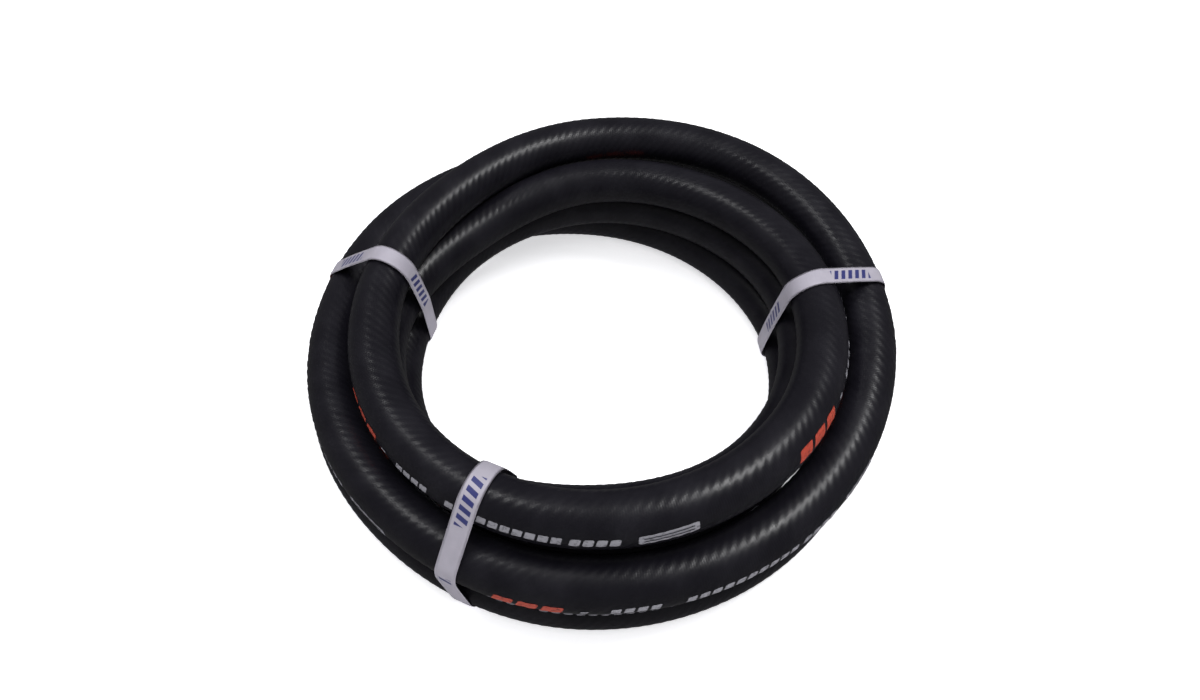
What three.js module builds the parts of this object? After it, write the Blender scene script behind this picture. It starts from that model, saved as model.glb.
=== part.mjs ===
// A length of black rubber fuel hose, wound into a coil of five turns and held by three straps.
// Units are millimetres and +Z is up. Angles go anticlockwise from above, from 0 at the front (-Y).
import * as THREE from "three";

// Driving dimensions of the hose
const hoseDiameter = 38;
const hoseBore = 25;
const hoseSides = 12;
const tailSteps = 5;

// Driving dimensions of the straps
const strapWidth = 16;
const strapThickness = 1;
const strapOutlineSteps = 72;
const strapEase = 2;
const leanHeight = 60;
const kickHeight = 55;
const touchGap = 0.3;
// Each strap's angle, and how far it shifts round the coil for each millimetre that it climbs, that it
// goes outward, and that it goes down below kickHeight
const straps = [
  { name: "strap_right", angle: 96, lean: -0.216, swing: 0.175, kick: 0 },
  { name: "strap_left", angle: 256, lean: 0.129, swing: -0.164, kick: 0 },
  { name: "strap_front", angle: 336, lean: 0.102, swing: -0.017, kick: 0.23 },
];

// The coil's mean radius, and how finely its solid is made
const coilRadius = 190;
const coilSegments = 60;
const outlineStepAngle = 9;
const outlinePoints = Math.round(360 / outlineStepAngle);
const grooveDepth = 11;

// Where the hose lies in each eighth of a lap, from 225 degrees on: [outward, up], both in hose
// diameters. Outward counts from the coil's mean radius and up from a hose that lies on the floor.
const firstStationAngle = 225;
const stationStepAngle = 45;
const lay = [
  [0.9, 0], [0.75, 0], [0.5, 0], [0.6, 0], [0.65, 0], [0.65, 0.25], [0.75, 0.65], [0.75, 0.9],
  [0.7, 1.05], [0.5, 1.05], [0.5, 1.1], [0.7, 1.1], [0.8, 1.25], [0.8, 1.7], [0.55, 2.15], [-0.1, 2.3],
  [-0.75, 2.3], [-0.65, 2.1], [-0.35, 2], [0, 2.2], [-0.05, 2.25], [-0.4, 2.2], [-0.85, 2.05], [-1.1, 1.85],
  [-1.15, 1.4], [-0.6, 1.1], [-0.5, 1], [-0.65, 1.15], [-0.45, 1.2], [-0.5, 1.2], [-0.65, 1], [-0.8, 0.9],
  [-0.75, 0.5], [-0.7, 0], [-0.7, 0], [-0.6, 0], [-0.5, 0], [-0.5, 0], [-0.55, 0], [-0.3, 0],
  [0.25, 0], [0.7, 0],
];

// The route's angles in degrees: its two cut ends, where each short tail meets the coil's solid, and
// how far round the coil's own end face there is spread
const outerEndAngle = 249;
const innerEndAngle = 1800 + 240;
const coilStartAngle = 270;
const coilEndAngle = 1800 + 216;
const coilFaceAngle = 0.1;

const degree = Math.PI / 180;
const hoseRadius = hoseDiameter / 2;
const lowestCentre = strapThickness + touchGap + hoseRadius;

// The hose's distance from the axis and its height at an angle of the route: a smooth curve through
// the stations, the Catmull-Rom curve of the two on each side, that the floor stops from dipping.
function layAt(angle) {
  const along = (angle - firstStationAngle) / stationStepAngle;
  const index = Math.min(Math.max(Math.floor(along), 0), lay.length - 2);
  const t = along - index;
  const station = (i) => lay[Math.min(Math.max(i, 0), lay.length - 1)];
  const blend = (axis) => {
    const [a, b, c, d] = [-1, 0, 1, 2].map((step) => station(index + step)[axis]);
    return 0.5 * (2 * b + (c - a) * t + (2 * a - 5 * b + 4 * c - d) * t ** 2 + (3 * b - a - 3 * c + d) * t ** 3);
  };
  const up = Math.max(blend(1), 0);
  return new THREE.Vector2(coilRadius + blend(0) * hoseDiameter, lowestCentre + up * hoseDiameter);
}

function around(radius, angle, height) {
  return new THREE.Vector3(radius * Math.sin(angle * degree), -radius * Math.cos(angle * degree), height);
}

// The centres of the turns that one upright cut through the coil meets, between two angles of the route
function turnsAt(angle, from, to) {
  const centres = [];
  for (let along = angle; along <= to; along += 360) {
    if (along >= from) centres.push(layAt(along));
  }
  return centres;
}

// How far a tight band round circles of one radius reaches from a point, along a direction
function reach(centres, radius, origin, direction) {
  return Math.max(...centres.map((centre) => centre.clone().sub(origin).dot(direction))) + radius;
}

function turned(angle) {
  return new THREE.Vector2(Math.cos(angle), Math.sin(angle));
}

// The coil's outline at an angle, seen along the hose. Each turn shows as its own round ridge, and the
// grooves between them go down to grooveDepth under a tight band.
function coilOutline(angle) {
  const centres = turnsAt(angle, coilStartAngle, coilEndAngle);
  const middle = new THREE.Vector2(coilRadius, lowestCentre + hoseDiameter);
  const points = [];
  for (let i = 0; i <= outlinePoints; i += 1) {
    const ray = turned(((i % outlinePoints) / outlinePoints) * 2 * Math.PI);
    let band = Infinity;
    for (let k = 0; k < 2 * outlinePoints; k += 1) {
      const normal = turned((k / outlinePoints) * Math.PI);
      const facing = ray.dot(normal);
      if (facing > 0.1) band = Math.min(band, reach(centres, hoseRadius, middle, normal) / facing);
    }
    const ridges = centres.map((centre) => {
      const offset = centre.clone().sub(middle);
      const along = offset.dot(ray);
      const aside = offset.cross(ray);
      return Math.abs(aside) < hoseRadius ? along + Math.sqrt(hoseRadius ** 2 - aside ** 2) : 0;
    });
    points.push(ray.multiplyScalar(Math.max(band - grooveDepth, ...ridges)).add(middle));
  }
  return points;
}

// The coil is turned round its axis, and its outline follows the turns as they shift
function makeCoil() {
  const angles = [(coilStartAngle - coilFaceAngle) % 360, (coilEndAngle + coilFaceAngle) % 360];
  for (let i = 0; i < coilSegments; i += 1) angles.push((i * 360) / coilSegments);
  angles.sort((a, b) => a - b);
  const geometry = new THREE.LatheGeometry(coilOutline(0), angles.length);
  const corners = geometry.attributes.position;
  for (let i = 0; i <= angles.length; i += 1) {
    const angle = angles[i % angles.length];
    coilOutline(angle).forEach((point, j) => {
      const corner = around(point.x, angle, point.y);
      corners.setXYZ(i * (outlinePoints + 1) + j, corner.x, corner.y, corner.z);
    });
  }
  return geometry;
}

// A short tail of real hose with its open bore, between two angles of the route
function makeTail(from, to) {
  const points = [];
  for (let i = 0; i <= tailSteps; i += 1) {
    const angle = from + ((to - from) * i) / tailSteps;
    const centre = layAt(angle);
    points.push(around(centre.x, angle, centre.y));
  }
  const section = new THREE.Shape().absarc(0, 0, hoseRadius, 0, 2 * Math.PI);
  section.holes.push(new THREE.Path().absarc(0, 0, hoseBore / 2, 0, 2 * Math.PI, true));
  const path = new THREE.CatmullRomCurve3(points);
  return new THREE.ExtrudeGeometry(section, { steps: tailSteps, curveSegments: hoseSides, extrudePath: path });
}

// How many degrees short of the coil's end a tail stops. The hose slants through the coil's upright end
// face, so a tail's square end stands off it by a share of its slant.
function tailGapAt(angle) {
  const radius = layAt(angle).x;
  const slant = layAt(angle + 1).distanceTo(layAt(angle - 1)) / (2 * degree * radius);
  return coilFaceAngle + (touchGap + (hoseRadius * slant) / 2.5) / radius / degree;
}

// A tight band round the turns that lie under a strap, at a clearance from the rubber
function bandOutline(centres, clearance) {
  const corners = [];
  const step = (2 * Math.PI) / strapOutlineSteps;
  const origin = new THREE.Vector2();
  for (let i = 0; i < strapOutlineSteps; i += 1) {
    // the corner where the tangents at this direction and the next one cross
    const [first, second] = [turned(i * step), turned((i + 1) * step)];
    const near = reach(centres, hoseRadius + clearance, origin, first);
    const next = reach(centres, hoseRadius + clearance, origin, second);
    const det = first.cross(second);
    corners.push(new THREE.Vector2(
      (near * second.y - next * first.y) / det,
      (next * first.x - near * second.x) / det,
    ));
  }
  return corners;
}

// How far round the coil from its own angle a strap lies, at a point of the upright cut: it shifts with
// height, with the distance from the coil's axis, and more again below kickHeight.
function asideAt(strap, point) {
  const below = Math.max(kickHeight - point.y, 0);
  return strap.lean * (point.y - leanHeight) + strap.swing * (point.x - coilRadius) + strap.kick * below;
}

// The turns under a strap, each met where the slanting strap crosses it: at its middle and both edges
function turnsUnder(strap) {
  const centres = [];
  const slant = Math.hypot(strap.lean, strap.swing) + strap.kick;
  const halfReach = strapWidth / 2 + slant * hoseRadius + strapEase;
  for (let along = strap.angle; along <= innerEndAngle; along += 360) {
    if (along < outerEndAngle) continue;
    const centre = layAt(along);
    for (const edge of [-1, 0, 1]) {
      const turn = (asideAt(strap, centre) + edge * halfReach) / centre.x;
      const met = layAt(along + turn / degree);
      met.x *= Math.cos(turn);
      centres.push(met);
    }
  }
  return centres;
}

// A strap goes once round the bundle
function makeStrap(strap) {
  const centres = turnsUnder(strap);
  const band = new THREE.Shape(bandOutline(centres, touchGap + strapThickness));
  band.holes.push(new THREE.Path(bandOutline(centres, touchGap)));
  const geometry = new THREE.ExtrudeGeometry(band, { depth: strapWidth, bevelEnabled: false });
  // the outline's x points outward from the coil's axis, its y up, and its depth runs back round the coil
  const corners = geometry.attributes.position;
  for (let i = 0; i < corners.count; i += 1) {
    const aside = asideAt(strap, new THREE.Vector2(corners.getX(i), corners.getY(i)));
    corners.setZ(i, corners.getZ(i) - strapWidth / 2 - aside);
  }
  const outward = around(1, strap.angle, 0);
  const up = new THREE.Vector3(0, 0, 1);
  geometry.applyMatrix4(new THREE.Matrix4().makeBasis(outward, up, outward.clone().cross(up)));
  return geometry;
}

const rubber = new THREE.MeshStandardMaterial({ color: 0x1d1c20, roughness: 0.45, metalness: 0 });
const strapping = new THREE.MeshStandardMaterial({ color: 0xd6d5de, roughness: 0.5, metalness: 0 });

const hose = new THREE.Group();

function addPiece(name, geometry, material) {
  const mesh = new THREE.Mesh(geometry, material);
  mesh.name = name;
  hose.add(mesh);
}

addPiece("hose_coil", makeCoil(), rubber);
addPiece("hose_tail_outer", makeTail(outerEndAngle, coilStartAngle - tailGapAt(coilStartAngle)), rubber);
addPiece("hose_tail_inner", makeTail(coilEndAngle + tailGapAt(coilEndAngle), innerEndAngle), rubber);
for (const strap of straps) addPiece(strap.name, makeStrap(strap), strapping);

// The part's origin is the middle of its footprint on the floor
const box = new THREE.Box3().setFromObject(hose);
const middle = box.getCenter(new THREE.Vector3());
hose.position.set(-middle.x, -middle.y, -box.min.z);

export default hose;
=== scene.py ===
"""A black rubber fuel hose, wound into a coil of five turns and held by three straps.

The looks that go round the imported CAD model: metres, +Z up, the part's own frame. Angles count
anticlockwise seen from above, from 0 at the front (-Y), in degrees."""

import bpy
import numpy as np
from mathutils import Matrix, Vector


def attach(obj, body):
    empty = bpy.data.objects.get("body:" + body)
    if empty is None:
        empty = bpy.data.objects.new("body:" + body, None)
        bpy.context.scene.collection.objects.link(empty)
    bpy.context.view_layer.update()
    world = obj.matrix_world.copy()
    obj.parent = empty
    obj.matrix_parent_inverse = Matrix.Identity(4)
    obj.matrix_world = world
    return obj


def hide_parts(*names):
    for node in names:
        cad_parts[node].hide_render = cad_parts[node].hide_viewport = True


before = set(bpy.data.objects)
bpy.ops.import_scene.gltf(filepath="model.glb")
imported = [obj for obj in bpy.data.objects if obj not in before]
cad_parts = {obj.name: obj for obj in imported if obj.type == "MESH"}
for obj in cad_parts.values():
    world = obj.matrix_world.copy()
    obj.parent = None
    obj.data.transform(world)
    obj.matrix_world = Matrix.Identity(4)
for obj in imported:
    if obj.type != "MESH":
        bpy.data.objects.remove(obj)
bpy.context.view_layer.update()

# The camera. It looks down at the coil from the front, as the photograph does: 1200 x 700 pixels,
# a focal length of 814 of those pixels, 659 mm from a point just in front of the coil's middle.
PHOTO_WIDTH = 1200
FOCAL_PIXELS = 814
SENSOR_WIDTH = 36.0
CAMERA_TARGET = np.array([0.00721, -0.02082, 0.0600])
CAMERA_DISTANCE = 0.659
CAMERA_ELEVATION = np.radians(52.58)

camera_data = bpy.data.cameras.new("camera")
camera_data.sensor_width = SENSOR_WIDTH
camera_data.lens = FOCAL_PIXELS / PHOTO_WIDTH * SENSOR_WIDTH
camera = bpy.data.objects.new("camera", camera_data)
camera_offset = np.array([0, -np.cos(CAMERA_ELEVATION), np.sin(CAMERA_ELEVATION)])
camera.location = CAMERA_TARGET + CAMERA_DISTANCE * camera_offset
camera.rotation_euler = (np.pi / 2 - CAMERA_ELEVATION, 0, 0)
bpy.context.scene.collection.objects.link(camera)
bpy.context.scene.camera = camera

# The hose. 5.8 m of reinforced fuel hose: a smooth nitrile lining with a 25 mm bore, textile plies,
# and a black synthetic rubber cover that was cured under a tight wrapping of cloth tape. The tape
# leaves slanted ripples all along it. Both ends are plain square cuts, as sold by the length.
HOSE_DIAMETER = 0.038
HOSE_BORE = 0.025
HOSE_RADIUS = HOSE_DIAMETER / 2
COIL_RADIUS = 0.190
COIL_AXIS = np.array([-0.00088676, -0.00092245, 0.0])
LOWEST_CENTRE = 0.0203
FIRST_STATION = 225
STATION_STEP = 45
OUTER_END = 249
INNER_END = 1800 + 240
ROUTE_POINTS = 8001
FORWARD_REACH = 0.5
# Where the hose lies in each eighth of a lap: [outward, up] in hose diameters. Two turns at the front
# right lie 1 to 2 mm further out here than in the CAD solid, to close a gap between them.
LAY = np.array([
    [0.9, 0], [0.75, 0], [0.5, 0], [0.6, 0], [0.65, 0], [0.65, 0.25], [0.75, 0.65], [0.75, 0.9],
    [0.7, 1.05], [0.5, 1.05], [0.5, 1.1], [0.7, 1.1], [0.8, 1.25], [0.8, 1.7], [0.55, 2.15],
    [-0.1, 2.3], [-0.75, 2.3], [-0.65, 2.1], [-0.35, 2], [0, 2.2], [-0.03, 2.25], [-0.4, 2.2],
    [-0.85, 2.05], [-1.1, 1.85], [-1.15, 1.4], [-0.6, 1.1], [-0.5, 1], [-0.65, 1.15],
    [-0.45, 1.2], [-0.5, 1.2], [-0.65, 1], [-0.8, 0.9], [-0.75, 0.5], [-0.7, 0], [-0.7, 0],
    [-0.6, 0], [-0.44, 0], [-0.5, 0], [-0.55, 0], [-0.3, 0], [0.25, 0], [0.7, 0],
])
RIPPLE_PITCH = 0.0075
RIPPLE_STARTS = 13
RIPPLE_HEIGHT = 0.00015
RIPPLE_FADE = 0.006
# The slower waves in the ripples: in their pitch, each as (radians, radians to the metre, times round
# the hose); in their height, (radians to the metre, times round); and the height's share that swells
PITCH_DRIFTS = [(0.7, 37, 1), (0.5, 83, -2)]
HEIGHT_WAVES = [(211, 3), (97, -1)]
SWELL_SHARE = 0.28
ROWS_A_RIPPLE = 4
COVER_SIDES = 26
BORE_STEP = 0.012
END_ROUNDING = 0.0004
CUT_RINGS = 8


def lay_at(angle):
    """Distance from the coil's axis and height of the hose's centre at route angles, in metres:
    the Catmull-Rom curve through the stations, held above the floor."""
    along = (np.asarray(angle, float) - FIRST_STATION) / STATION_STEP
    index = np.clip(np.floor(along).astype(int), 0, len(LAY) - 2)
    t = (along - index)[..., None]
    a, b, c, d = (LAY[np.clip(index + step, 0, len(LAY) - 1)] for step in (-1, 0, 1, 2))
    blend = 0.5 * (2 * b + (c - a) * t + (2 * a - 5 * b + 4 * c - d) * t**2
                   + (3 * b - a - 3 * c + d) * t**3)
    radius = COIL_RADIUS + blend[..., 0] * HOSE_DIAMETER
    height = LOWEST_CENTRE + np.maximum(blend[..., 1], 0) * HOSE_DIAMETER
    return radius, height


def around(radius, angle, height):
    """The point at a radius, angle and height about the coil's axis."""
    turn = np.radians(angle)
    spot = np.stack(np.broadcast_arrays(radius * np.sin(turn), -radius * np.cos(turn), height), -1)
    return spot + COIL_AXIS


def centre_at(angle):
    """The hose's centre at route angles."""
    radius, height = lay_at(angle)
    return around(radius, angle, height)


def unit(v):
    """Each vector divided by its own length."""
    return v / np.linalg.norm(v, axis=-1, keepdims=True)


ROUTE_ANGLES = np.linspace(OUTER_END, INNER_END, ROUTE_POINTS)
route_steps = np.linalg.norm(np.diff(centre_at(ROUTE_ANGLES), axis=0), axis=-1)
ROUTE_LENGTHS = np.concatenate([[0], np.cumsum(route_steps)])
HOSE_LENGTH = ROUTE_LENGTHS[-1]


def hose_frame(length):
    """Centre, outward and upward directions of the hose's square section at lengths along it. Forward
    is the line between two centres, FORWARD_REACH degrees behind and ahead; outward is the coil's own,
    made square to it; and upward is square to both."""
    angle = np.interp(length, ROUTE_LENGTHS, ROUTE_ANGLES)
    centre = centre_at(angle)
    forward = unit(centre_at(angle + FORWARD_REACH) - centre_at(angle - FORWARD_REACH))
    outward = around(1.0, angle, 0) - COIL_AXIS
    outward = unit(outward - forward * np.sum(outward * forward, -1, keepdims=True))
    return centre, outward, np.cross(outward, forward)


def skin_at(length, girth, lift=0.0):
    """A point of the cover: lengths along the hose, and girth angles from its outer side upwards.
    The radius is the hose's, plus one wave that runs round it as a screw with several starts. The
    wave's pitch and height drift with slower waves, as tape does that was wound by hand, and it
    fades out at both cuts."""
    drift = sum(size * np.sin(length * pace + times * girth) for size, pace, times in PITCH_DRIFTS)
    turn = 2 * np.pi * length / RIPPLE_PITCH - RIPPLE_STARTS * girth + drift
    first, second = (np.sin(length * pace + times * girth) for pace, times in HEIGHT_WAVES)
    swell = 1 - SWELL_SHARE + SWELL_SHARE * first * second
    swell = swell * np.clip(np.minimum(length, HOSE_LENGTH - length) / RIPPLE_FADE, 0, 1)
    radius = HOSE_RADIUS - RIPPLE_HEIGHT + RIPPLE_HEIGHT * swell * np.cos(turn) + lift
    centre, outward, upward = hose_frame(length)
    return (centre + radius[..., None] * (np.cos(girth)[..., None] * outward
                                          + np.sin(girth)[..., None] * upward))


def add_mesh(name, points, faces, smooth=True):
    """An object at the origin from an array of points and a list of face corner arrays, all
    shaded smooth or all flat."""
    mesh = bpy.data.meshes.new(name)
    mesh.from_pydata(points.reshape(-1, 3), [], faces)
    mesh.polygons.foreach_set("use_smooth", np.full(len(mesh.polygons), smooth))
    mesh.update()
    piece = bpy.data.objects.new(name, mesh)
    bpy.context.scene.collection.objects.link(piece)
    return piece


def cell_corners(grid):
    """The four corners of each cell of a grid: its own value, the next column's, the next row and
    column's, and the next row's. For point numbers these are the grid's faces."""
    corners = [grid[:-1, :-1], grid[:-1, 1:], grid[1:, 1:], grid[1:, :-1]]
    return np.stack(corners, 2).reshape(-1, 4, *grid.shape[2:])


def closed(grid, axis):
    """A grid with its first row or column once more at its end."""
    return np.concatenate([grid, grid.take([0], axis)], axis)


def add_uv(piece, name, uv):
    """A UV map from one pair for each face corner, in the order of the faces."""
    layer = piece.data.uv_layers.new(name=name)
    layer.data.foreach_set("uv", np.asarray(uv, np.float32).ravel())


def add_node(tree, kind, settings=None, **links):
    """A node of a kind, with settings for its properties, and for its inputs a value or another
    node's output. An input is named by its label with _ for a space, or by _ and its number."""
    node = tree.nodes.new(kind)
    for key, value in (settings or {}).items():
        setattr(node, key, value)
    for key, value in links.items():
        socket = node.inputs[int(key[1:]) if key[1:].isdigit() else key.replace("_", " ")]
        if isinstance(value, bpy.types.NodeSocket):
            tree.links.new(value, socket)
        else:
            socket.default_value = value
    return node


def linear(hex_colour):
    """An sRGB hex colour as linear red, green, blue and alpha."""
    srgb = np.array([int(hex_colour[i:i + 2], 16) / 255 for i in (1, 3, 5)])
    rgb = np.where(srgb <= 0.04045, srgb / 12.92, ((srgb + 0.055) / 1.055) ** 2.4)
    return (*rgb.tolist(), 1.0)


def new_material(name):
    """A material with nodes, and its Principled shader."""
    material = bpy.data.materials.new(name)
    material.use_nodes = True
    return material, material.node_tree, material.node_tree.nodes["Principled BSDF"]


# The cover's grid. Its rows follow the crests of the ripples, so they slant, and where a row has gone
# once round it meets the row that is one whole lead further on. Both ends stop at the square cuts.
row_step = RIPPLE_PITCH / ROWS_A_RIPPLE
turn_rows = RIPPLE_STARTS * ROWS_A_RIPPLE
columns = np.arange(COVER_SIDES + 1)
slant = columns / COVER_SIDES * turn_rows
slant[-1] = 0
first_rows = np.floor(END_ROUNDING / row_step - slant).astype(int)
last_rows = np.ceil((HOSE_LENGTH - END_ROUNDING) / row_step - slant).astype(int)
rows = np.arange(first_rows.min(), last_rows.max() + 1)[:, None] + np.zeros_like(columns)
rows[:, -1] += turn_rows
rows = np.clip(rows, first_rows, last_rows)
length = np.clip((rows + slant) * row_step, END_ROUNDING, HOSE_LENGTH - END_ROUNDING)
girths = np.arange(COVER_SIDES) * 2 * np.pi / COVER_SIDES
numbers = (rows - rows.min()) * COVER_SIDES + columns % COVER_SIDES
kept, first_at, numbers = np.unique(numbers, return_index=True, return_inverse=True)
numbers = numbers.reshape(rows.shape)
cover_points = skin_at(length.ravel()[first_at], girths[kept % COVER_SIDES])

# the cover's own map, in metres: along the hose, and round it
round_it = np.broadcast_to(columns / COVER_SIDES * 2 * np.pi * HOSE_RADIUS, length.shape)
faces, face_map = cell_corners(numbers), cell_corners(np.stack([length, round_it], -1))

# A cell with all four corners is a face; at the cuts a cell's left or right side can have shrunk to one
# point, which leaves a triangle
left, right = faces[:, 0] != faces[:, 3], faces[:, 1] != faces[:, 2]
parts = [(left & right, [0, 1, 2, 3]), (left & ~right, [0, 1, 3]), (right & ~left, [0, 1, 2])]
cover_faces = [face for chosen, corners in parts for face in faces[chosen][:, corners].tolist()]
cover_map = [face_map[chosen][:, corners].reshape(-1, 2) for chosen, corners in parts]


def round_ring(length, radius):
    """Rings of plain circles: one length and one radius for each ring."""
    length, girth = np.meshgrid(length, girths, indexing="ij")
    centre, outward, upward = hose_frame(length)
    spoke = np.cos(girth)[..., None] * outward + np.sin(girth)[..., None] * upward
    return centre + np.asarray(radius)[:, None, None] * spoke


# the square cut at the inner end, the bore back to the outer end, and the cut there
cut_radii = np.linspace(HOSE_RADIUS - END_ROUNDING, HOSE_BORE / 2 + END_ROUNDING, CUT_RINGS)
bore_rings = np.linspace(HOSE_LENGTH - END_ROUNDING, END_ROUNDING, int(HOSE_LENGTH / BORE_STEP) + 1)
inside_length = np.concatenate([np.full(CUT_RINGS, HOSE_LENGTH), bore_rings, np.zeros(CUT_RINGS)])
inside_radius = np.concatenate([cut_radii, np.full(len(bore_rings), HOSE_BORE / 2), cut_radii[::-1]])
inside_points = round_ring(inside_length, inside_radius)
inside_numbers = np.arange(inside_points[..., 0].size).reshape(-1, COVER_SIDES) + len(cover_points)
inside_numbers = np.concatenate([numbers[-1:, :-1], inside_numbers, numbers[:1, :-1]])
inside_faces = cell_corners(closed(inside_numbers, 1))
hose_points = np.concatenate([cover_points, inside_points.reshape(-1, 3)])
hose = add_mesh("fuel_hose", hose_points, cover_faces + inside_faces.tolist())

# the cuts and the bore use the same map, with the distance from the hose's middle line, made negative,
# in the second place
inside_radius = np.concatenate([[HOSE_RADIUS], inside_radius, [HOSE_RADIUS]])
inside_length = np.concatenate([[HOSE_LENGTH], inside_length, [0.0]])
inside_map = np.stack([inside_length, -inside_radius], -1)[:, None] + np.zeros((1, COVER_SIDES + 1, 1))
add_uv(hose, "skin", np.concatenate([*cover_map, cell_corners(inside_map).reshape(-1, 2)]))

# Synthetic rubber, cured under cloth tape: near black with a cool cast, satin where the tape pressed
# it smooth, and finely ribbed by the cloth. At the cuts the paler textile plies show as thin rings.
# Bloom, the wax that such rubber sweats out, dulls it in soft patches about 26 mm wide. The cloth's
# grain and ribs are 1.8 and 1.7 mm apart here, coarser than its real threads, which wouldn't show.
COVER_BLACK = "#131218"
COVER_BLOOM = "#1A191F"
PLY_GREY = "#8C887E"
PLY_RADIUS = 0.0162
PLY_HALF = 0.0004
BLOOM_PATCHES = 38.0
COVER_SATIN = 0.31
COVER_DULL = 0.38
CLOTH_GRAIN = 0.55
CLOTH_RIBS = 0.18
CLOTH_RELIEF = 0.00012
cover, tree, shader = new_material("cloth_cured_rubber")
skin = add_node(tree, "ShaderNodeUVMap", {"uv_map": "skin"}).outputs[0]
place = add_node(tree, "ShaderNodeTexCoord").outputs["Object"]
bloom = add_node(tree, "ShaderNodeTexNoise", Vector=place, Scale=BLOOM_PATCHES, Detail=4.0).outputs["Fac"]
bloom_share = add_node(tree, "ShaderNodeMapRange", _0=bloom, _1=0.4, _2=0.7, _3=0.0, _4=1.0)
tone = add_node(tree, "ShaderNodeMix", {"data_type": "RGBA"}, _0=bloom_share.outputs[0],
                _6=linear(COVER_BLACK), _7=linear(COVER_BLOOM))
depth = add_node(tree, "ShaderNodeSeparateXYZ", _0=skin).outputs[1]
ply = add_node(tree, "ShaderNodeMath", {"operation": "ABSOLUTE"},
               _0=add_node(tree, "ShaderNodeMath", _0=depth, _1=PLY_RADIUS).outputs[0])
in_ply = add_node(tree, "ShaderNodeMath", {"operation": "LESS_THAN"}, _0=ply.outputs[0], _1=PLY_HALF)
tone = add_node(tree, "ShaderNodeMix", {"data_type": "RGBA"}, _0=in_ply.outputs[0],
                _6=tone.outputs[2], _7=linear(PLY_GREY))
tree.links.new(tone.outputs[2], shader.inputs["Base Color"])
gloss = add_node(tree, "ShaderNodeMapRange", _0=bloom, _1=0.3, _2=0.7, _3=COVER_SATIN, _4=COVER_DULL)
tree.links.new(gloss.outputs[0], shader.inputs["Roughness"])
to_millimetres = (1000.0, 1000.0, 1000.0)
millimetres = add_node(tree, "ShaderNodeMapping", Vector=skin, Scale=to_millimetres).outputs[0]
grain = add_node(tree, "ShaderNodeTexNoise", Vector=millimetres,
                 Scale=CLOTH_GRAIN, Detail=3.0).outputs["Fac"]
rib = add_node(tree, "ShaderNodeTexWave", {"bands_direction": "X"}, Vector=millimetres,
               Scale=CLOTH_RIBS, Distortion=2.0, Detail=2.0).outputs["Fac"]
relief = add_node(tree, "ShaderNodeMath", {"operation": "MULTIPLY_ADD"}, _0=rib, _1=0.5, _2=grain)
bump = add_node(tree, "ShaderNodeBump", Height=relief.outputs[0], Strength=0.35, Distance=CLOTH_RELIEF)
tree.links.new(bump.outputs[0], shader.inputs["Normal"])
hose.data.materials.append(cover)

# The print along the hose, which repeats every 0.36 m near its outer side: three orange red bars, rows
# of plain white dashes, and a white plate with two grey rules. It is ink, rolled onto the cured cover,
# and is drawn a fifth of a millimetre above it, so that the ripples stay under it.
PRINT_REPEAT = 0.360
# Lengths along the hose at which five of the repeats start, and how the print's line wanders round the
# hose as the hose twists in its coil: [route angle, degrees above the outer side]
KNOWN_STARTS = [1.707, 2.070, 2.430, 2.786, 3.129]
PRINT_LINE = np.array([
    [249, 62], [325, 62], [345, 51], [470, 49], [600, 15], [695, -4], [716, -1], [728, 4],
    [760, 4], [860, 4], [1017, 3], [1032, 6], [1060, 17], [1090, 11], [1122, 26], [1140, 19],
    [1160, 15], [2040, 15],
])
PRINT_LIFT = 0.00018
PRINT_STEP = 0.0012
PRINT_LANES = 4
ROUNDED_HEIGHT = 0.86
INK_WHITE = "#94939B"
INK_ORANGE = "#B8402A"
INK_GREY = "#3A3940"
INK_MATT = 0.55
INK_WEAR = 420.0


def add_print(name, blocks, ink, lift):
    """Flat blocks of ink on the cover. Each block is a small grid on the skin, from its start, its
    length, its height, its lean, and how far its middle stands above the print's own line. Its first
    and last columns are lower, which rounds its corners."""
    points, faces, count = [], [], 0
    for start, run, height, lean, above in blocks:
        along = np.linspace(0, run, max(int(np.ceil(run / PRINT_STEP)), 2) + 1)[:, None]
        up = np.linspace(-0.5, 0.5, PRINT_LANES)[None, :] * height
        ends = np.minimum(along, run - along) < PRINT_STEP / 2
        up = np.where(ends, up * ROUNDED_HEIGHT, up)
        run_at = start + along + lean * up / height
        line = np.interp(np.interp(run_at, ROUTE_LENGTHS, ROUTE_ANGLES), *PRINT_LINE.T)
        block = skin_at(run_at, np.radians(line) + (above + up) / HOSE_RADIUS, lift)
        numbers = np.arange(block[..., 0].size).reshape(block.shape[:2]) + count
        points.append(block.reshape(-1, 3))
        faces += cell_corners(numbers)[:, ::-1].tolist()
        count += numbers.size
    piece = add_mesh(name, np.concatenate(points), faces)
    piece.data.materials.append(ink)
    return piece


def new_ink(name, colour):
    """Ink rolled onto ribbed rubber: matt, and worn thin in patches 2 to 3 mm wide, where the black
    shows through."""
    material, tree, shader = new_material(name)
    place = add_node(tree, "ShaderNodeTexCoord").outputs["Object"]
    patches = add_node(tree, "ShaderNodeTexNoise", Vector=place, Scale=INK_WEAR, Detail=3.0).outputs["Fac"]
    worn = add_node(tree, "ShaderNodeMapRange", _0=patches, _1=0.54, _2=0.66, _3=0.0, _4=0.45)
    tone = add_node(tree, "ShaderNodeMix", {"data_type": "RGBA"}, _0=worn.outputs[0],
                    _6=linear(colour), _7=linear(COVER_BLOOM))
    tree.links.new(tone.outputs[2], shader.inputs["Base Color"])
    shader.inputs["Roughness"].default_value = INK_MATT
    return material


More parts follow.
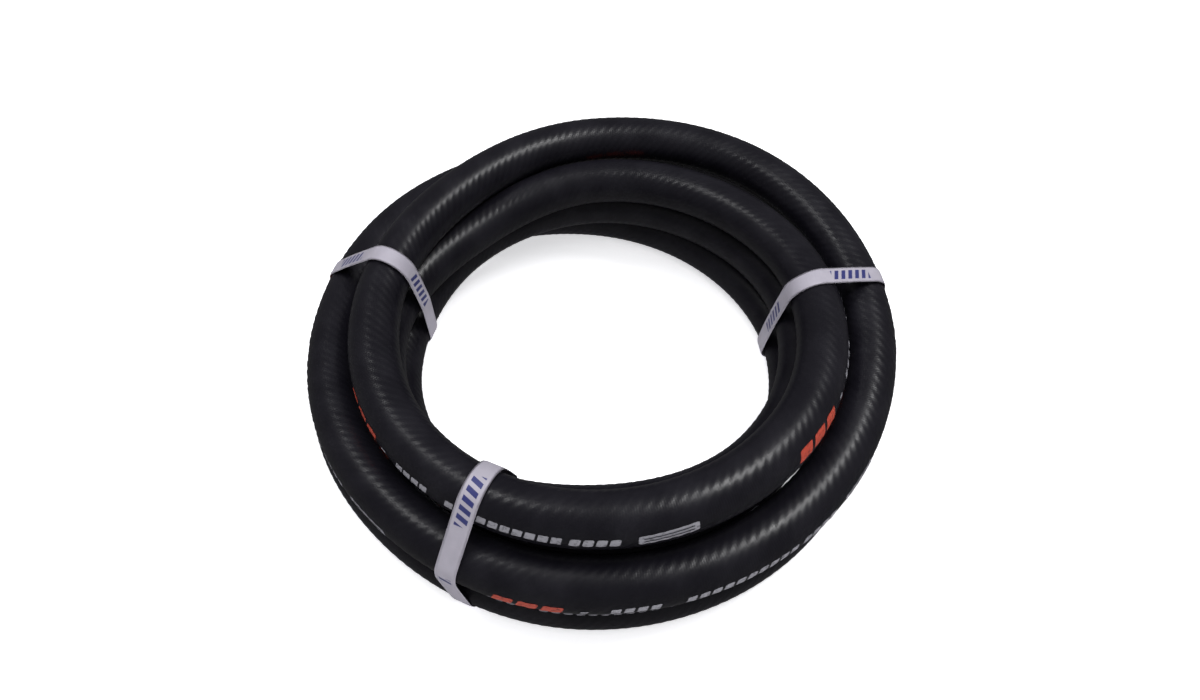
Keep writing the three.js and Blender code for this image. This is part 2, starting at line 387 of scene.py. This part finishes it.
# Each repeat's start, and its share of the full repeat, because the known ones aren't evenly spaced
before = np.arange(KNOWN_STARTS[0] % PRINT_REPEAT, KNOWN_STARTS[0] - PRINT_REPEAT / 2, PRINT_REPEAT)
after = np.arange(KNOWN_STARTS[-1] + PRINT_REPEAT, HOSE_LENGTH, PRINT_REPEAT)
starts = np.concatenate([before, KNOWN_STARTS, after])
shares = np.append(np.diff(starts) / PRINT_REPEAT, 1.0)
repeats = list(zip(starts, shares))

# Each form's own shape: its length, its height and its lean; and where in a repeat it starts
DASH = (0.0060, 0.0062, 0.0014)
DASH_PITCH = 0.0080
DASH_GROUPS = [(0.070, 4), (0.116, 10), (0.199, 4)]
SHORT_DASH = (0.0048, 0.0020, 0.0014)
SHORT_DASH_START = 0.052
PLATE = (0.0360, 0.0078, 0.0)
PLATE_START = 0.240
ORANGE_BAR = (0.0125, 0.0092, 0.003)
ORANGE_BAR_STARTS = (-0.002, 0.0135, 0.029)
RULE = (0.0300, 0.0010, 0.0)
RULE_INSET = 0.003
RULE_HEIGHTS = (-0.0013, 0.0014)
BARE_END = 0.004
dashes = [(start + share * (group + i * DASH_PITCH), *DASH, 0.0)
          for start, share in repeats for group, number in DASH_GROUPS for i in range(number)]
dashes += [(start + share * SHORT_DASH_START, *SHORT_DASH, 0.0) for start, share in repeats]
plates = [(start + share * PLATE_START, *PLATE, 0.0) for start, share in repeats]
bars = [(start + offset, *ORANGE_BAR, 0.0) for start in starts for offset in ORANGE_BAR_STARTS]
rules = [(start + share * PLATE_START + RULE_INSET, *RULE, above)
         for start, share in repeats for above in RULE_HEIGHTS]


def on_hose(blocks):
    """Only the blocks that lie wholly on the hose, clear of its bare ends."""
    return [block for block in blocks
            if BARE_END < block[0] and block[0] + block[1] < HOSE_LENGTH - BARE_END]


white_ink = new_ink("white_printing_ink", INK_WHITE)
orange_ink = new_ink("orange_red_printing_ink", INK_ORANGE)
grey_ink = new_ink("grey_printing_ink", INK_GREY)
prints = [add_print("print_dashes", on_hose(dashes), white_ink, PRINT_LIFT),
          add_print("print_plates", on_hose(plates), white_ink, PRINT_LIFT),
          add_print("print_bars", on_hose(bars), orange_ink, PRINT_LIFT),
          add_print("print_rules", on_hose(rules), grey_ink, 2 * PRINT_LIFT)]

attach(hose, "root")
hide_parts("hose_coil", "hose_tail_outer", "hose_tail_inner")
for piece in prints:
    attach(piece, "root")
PATH_POINTS = 600
hose_path = centre_at(np.interp(np.linspace(0, HOSE_LENGTH, PATH_POINTS), ROUTE_LENGTHS, ROUTE_ANGLES))

# The straps. Three plain bands of pale strapping, 16 mm wide, each drawn tight once round the whole
# bundle and lying straight across the hollows between the turns.
STRAP_WIDTH = 0.016
STRAP_THICKNESS = 0.001
STRAP_EASE = 0.002
LEAN_HEIGHT = 0.060
KICK_HEIGHT = 0.055
TOUCH_GAP = 0.0003
STRAP_DIRECTIONS = 180
STRAP_STEPS = 260
STRAP_COLUMNS = 9
EDGE_START = 0.85
# Each strap's angle, how far it shifts round the coil for each metre that it climbs, goes outward and
# goes down below KICK_HEIGHT, and where its row of bars starts
STRAPS = {
    "strap_right": (96, -0.216, 0.175, 0, 0.067),
    "strap_left": (256, 0.129, -0.164, 0, 0.028),
    "strap_front": (336, 0.102, -0.017, 0.23, 0.053),
}


def aside_at(slants, radius, height):
    """How far round the coil a strap lies from its own angle: it shifts with height, with distance
    from the coil's axis, and more again below KICK_HEIGHT."""
    lean, swing, kick = slants
    below = np.maximum(KICK_HEIGHT - height, 0)
    return lean * (height - LEAN_HEIGHT) + swing * (radius - COIL_RADIUS) + kick * below


def turns_under(angle, slants):
    """Centres (radius, height) of every turn where a strap crosses it, at its middle and at both
    edges: the route angles of each lap, shifted by the slants and half the strap's width."""
    laps = np.arange(angle, INNER_END, 360.0)
    laps = laps[laps >= OUTER_END]
    radius, height = lay_at(laps)
    lean, swing, kick = slants
    half = STRAP_WIDTH / 2 + (np.hypot(lean, swing) + kick) * HOSE_RADIUS + STRAP_EASE
    aside = aside_at(slants, radius, height) + np.array([-half, 0, half])[:, None]
    turn = aside / radius
    met_radius, met_height = lay_at(laps + np.degrees(turn))
    return np.stack([(met_radius * np.cos(turn)).ravel(), met_height.ravel()], -1)


def band_outline(centres, clearance):
    """The tight band round circles of the hose's radius and a clearance, as evenly spaced points
    (radius, height): each corner is where the tangents in two neighbouring directions cross."""
    bearing = np.arange(STRAP_DIRECTIONS) * 2 * np.pi / STRAP_DIRECTIONS
    facing = np.stack([np.cos(bearing), np.sin(bearing)], -1)
    reach = (centres @ facing.T).max(0) + HOSE_RADIUS + clearance
    after, further = np.roll(facing, -1, 0), np.roll(reach, -1)
    det = facing[:, 0] * after[:, 1] - facing[:, 1] * after[:, 0]
    corners = np.stack([(reach * after[:, 1] - further * facing[:, 1]) / det,
                        (further * facing[:, 0] - reach * after[:, 0]) / det], -1)
    ring = np.concatenate([corners, corners[:1]])
    run = np.concatenate([[0], np.cumsum(np.linalg.norm(np.diff(ring, axis=0), axis=-1))])
    even = np.linspace(0, run[-1], STRAP_STEPS + 1)[:-1]
    return np.stack([np.interp(even, run, ring[:, 0]), np.interp(even, run, ring[:, 1])], -1), run[-1]


def make_strap(angle, slants):
    """A strap: its outline round the bundle, carried across the strap's width along the coil, and
    shifted round the coil by its slants. Its section is flat with rounded edges: outside and inside
    rows, closed round."""
    centres = turns_under(angle, slants)
    outer, girth = band_outline(centres, TOUCH_GAP + STRAP_THICKNESS)
    inner, _ = band_outline(centres, TOUCH_GAP)
    across = np.linspace(-1, 1, STRAP_COLUMNS)
    edge = 0.5 * np.clip((np.abs(across) - EDGE_START) / (1 - EDGE_START), 0, 1) ** 2
    top = outer[:, None] + (inner - outer)[:, None] * edge[:, None]
    bottom = inner[:, None] + (outer - inner)[:, None] * edge[:, None]
    section = np.concatenate([top, bottom[:, ::-1]], axis=1)
    aside = np.concatenate([across, across[::-1]]) * STRAP_WIDTH / 2
    aside = aside[None, :] + aside_at(slants, section[..., 0], section[..., 1])
    outward = around(1.0, float(angle), 0) - COIL_AXIS
    forward = np.cross([0, 0, 1.0], outward)
    points = (outward * section[..., :1] + forward * aside[..., None]
              + np.array([0, 0, 1.0]) * section[..., 1:] + COIL_AXIS)
    return points, girth, across


# Woven polypropylene strapping: thin flat ribbons, calendered into a pale lavender grey sheet with
# a soft sheen and a fine uneven grain. A row of plain slanted navy bars repeats along it.
STRAP_PALE = "#B5B1BD"
STRAP_DULL = "#9F9BA7"
STRAP_NAVY = "#34386E"
STRAP_SHEEN = 0.42
STRAP_MOTTLE = 90.0
RIBBON_GRAIN = 700.0
RIBBON_RELIEF = 0.0002
strapping, tree, shader = new_material("woven_polypropylene_strapping")
ribbon = add_node(tree, "ShaderNodeUVMap", {"uv_map": "ribbon"}).outputs[0]
place = add_node(tree, "ShaderNodeTexCoord").outputs["Object"]
mottle = add_node(tree, "ShaderNodeTexNoise", Vector=place, Scale=STRAP_MOTTLE, Detail=4.0).outputs["Fac"]
tone = add_node(tree, "ShaderNodeMix", {"data_type": "RGBA"}, _0=mottle,
                _6=linear(STRAP_DULL), _7=linear(STRAP_PALE))
BAR_REPEAT = 0.098
BAR_ROW = 0.038
BAR_PITCH = 0.0068
BAR_SHARE = 0.55
BAR_HEIGHT = 0.0090
BAR_SLANT = 0.35
split = add_node(tree, "ShaderNodeSeparateXYZ", _0=ribbon)
run, width = split.outputs[0], split.outputs[1]


def add_sum(operation, first, second, third=0.0):
    """A Math node on this tree: an operation on up to three numbers or outputs."""
    return add_node(tree, "ShaderNodeMath", {"operation": operation},
                    _0=first, _1=second, _2=third).outputs[0]


in_row = add_sum("LESS_THAN", add_sum("FLOORED_MODULO", run, BAR_REPEAT), BAR_ROW)
slanted = add_sum("MULTIPLY_ADD", width, BAR_SLANT, run)
in_bar = add_sum("LESS_THAN", add_sum("FLOORED_MODULO", slanted, BAR_PITCH), BAR_PITCH * BAR_SHARE)
in_height = add_sum("LESS_THAN", add_sum("ABSOLUTE", width, 0.0), BAR_HEIGHT / 2)
inked = add_sum("MULTIPLY", add_sum("MULTIPLY", in_row, in_bar), in_height)
colour = add_node(tree, "ShaderNodeMix", {"data_type": "RGBA"}, _0=inked,
                  _6=tone.outputs[2], _7=linear(STRAP_NAVY))
tree.links.new(colour.outputs[2], shader.inputs["Base Color"])
shader.inputs["Roughness"].default_value = STRAP_SHEEN
weave = add_node(tree, "ShaderNodeTexNoise", Vector=place, Scale=RIBBON_GRAIN, Detail=2.0).outputs["Fac"]
bump = add_node(tree, "ShaderNodeBump", Height=weave, Strength=0.3, Distance=RIBBON_RELIEF)
tree.links.new(bump.outputs[0], shader.inputs["Normal"])

for name, (angle, *slants, shift) in STRAPS.items():
    points, girth, across = make_strap(angle, slants)
    numbers = np.arange(points[..., 0].size).reshape(points.shape[:2])
    faces = cell_corners(closed(closed(numbers, 0), 1))
    strap = add_mesh(name + "_band", points, faces[:, ::-1].tolist())
    step = np.arange(STRAP_STEPS + 1) * girth / STRAP_STEPS + shift
    lane = np.concatenate([across, across[::-1], across[:1]]) * STRAP_WIDTH / 2
    band_map = np.empty((STRAP_STEPS, 2 * STRAP_COLUMNS, 4, 2))
    band_map[..., 0] = np.stack([step[1:], step[1:], step[:-1], step[:-1]], -1)[:, None]
    band_map[..., 1] = np.stack([lane[:-1], lane[1:], lane[1:], lane[:-1]], -1)[None]
    add_uv(strap, "ribbon", band_map)
    strap.data.materials.append(strapping)
    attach(strap, "root")
    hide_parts(name)

# The floor: one plain sheet of white acrylic that glows softly from below, as a table for
# photographing products does, so that shadows on it stay faint.
FLOOR_REACH = 4.0
FLOOR_WHITE = "#F2F2F4"
FLOOR_MATT = 0.9
FLOOR_GLOW = 0.70
floor_points = np.array([[-1, -1, 0], [1, -1, 0], [1, 1, 0], [-1, 1, 0]]) * FLOOR_REACH
floor = add_mesh("studio_floor", floor_points, [(0, 1, 2, 3)], smooth=False)
acrylic, tree, shader = new_material("white_acrylic_sheet")
shader.inputs["Base Color"].default_value = linear(FLOOR_WHITE)
shader.inputs["Roughness"].default_value = FLOOR_MATT
shader.inputs["Emission Color"].default_value = linear(FLOOR_WHITE)
shader.inputs["Emission Strength"].default_value = FLOOR_GLOW
floor.data.materials.append(acrylic)
floor.visible_glossy = False

# The backdrop: a low round wall of the same white, which stands all round and glows as the floor does.
WALL_RADIUS = 3.9
WALL_HEIGHT = 2.2
WALL_GLOW = 0.85
WALL_SIDES = 96
wall_bearings = np.arange(WALL_SIDES) * 2 * np.pi / WALL_SIDES
bearings, levels = np.meshgrid(wall_bearings, np.linspace(0, WALL_HEIGHT, 3), indexing="ij")
wall_points = np.stack([WALL_RADIUS * np.cos(bearings), WALL_RADIUS * np.sin(bearings), levels], -1)
wall_numbers = closed(np.arange(levels.size).reshape(levels.shape), 0)
wall = add_mesh("studio_wall", wall_points, cell_corners(wall_numbers)[:, ::-1].tolist())
paper, tree, shader = new_material("white_backdrop_paper")
shader.inputs["Base Color"].default_value = linear(FLOOR_WHITE)
shader.inputs["Roughness"].default_value = FLOOR_MATT
shader.inputs["Emission Color"].default_value = linear(FLOOR_WHITE)
shader.inputs["Emission Strength"].default_value = WALL_GLOW
wall.data.materials.append(paper)
wall.visible_glossy = False
wall.visible_diffuse = False

# The light: a dim room, one wide diffusing sheet overhead that lights without a reflection of its
# own, and two small soft boxes, right and left above the coil, whose reflections are the highlights.
ROOM_GREY = "#FFFFFF"
ROOM_STRENGTH = 0.08
room = bpy.data.worlds.new("dim_room")
bpy.context.scene.world = room
room.use_nodes = True
room.node_tree.nodes["Background"].inputs["Color"].default_value = linear(ROOM_GREY)
room.node_tree.nodes["Background"].inputs["Strength"].default_value = ROOM_STRENGTH


def add_light(name, place, size, watts, mirrored=True):
    """A rectangular light at a place, turned to face the coil's middle."""
    light = bpy.data.lights.new(name, "AREA")
    light.shape = "RECTANGLE"
    light.size, light.size_y = size
    light.energy = watts
    box = bpy.data.objects.new(name, light)
    box.location = place
    box.rotation_euler = (-Vector(place)).to_track_quat("-Z", "Y").to_euler()
    box.visible_glossy = mirrored
    bpy.context.scene.collection.objects.link(box)


add_light("diffusing_sheet", (0, 0, 2.4), (3.0, 3.0), 70, mirrored=False)
add_light("soft_box_right", (0.74, 0.0, 1.62), (0.42, 0.2), 8.5)
add_light("soft_box_left", (-0.76, 0.22, 1.62), (0.4, 0.2), 2.8)
bpy.context.scene.view_settings.view_transform = "Standard"
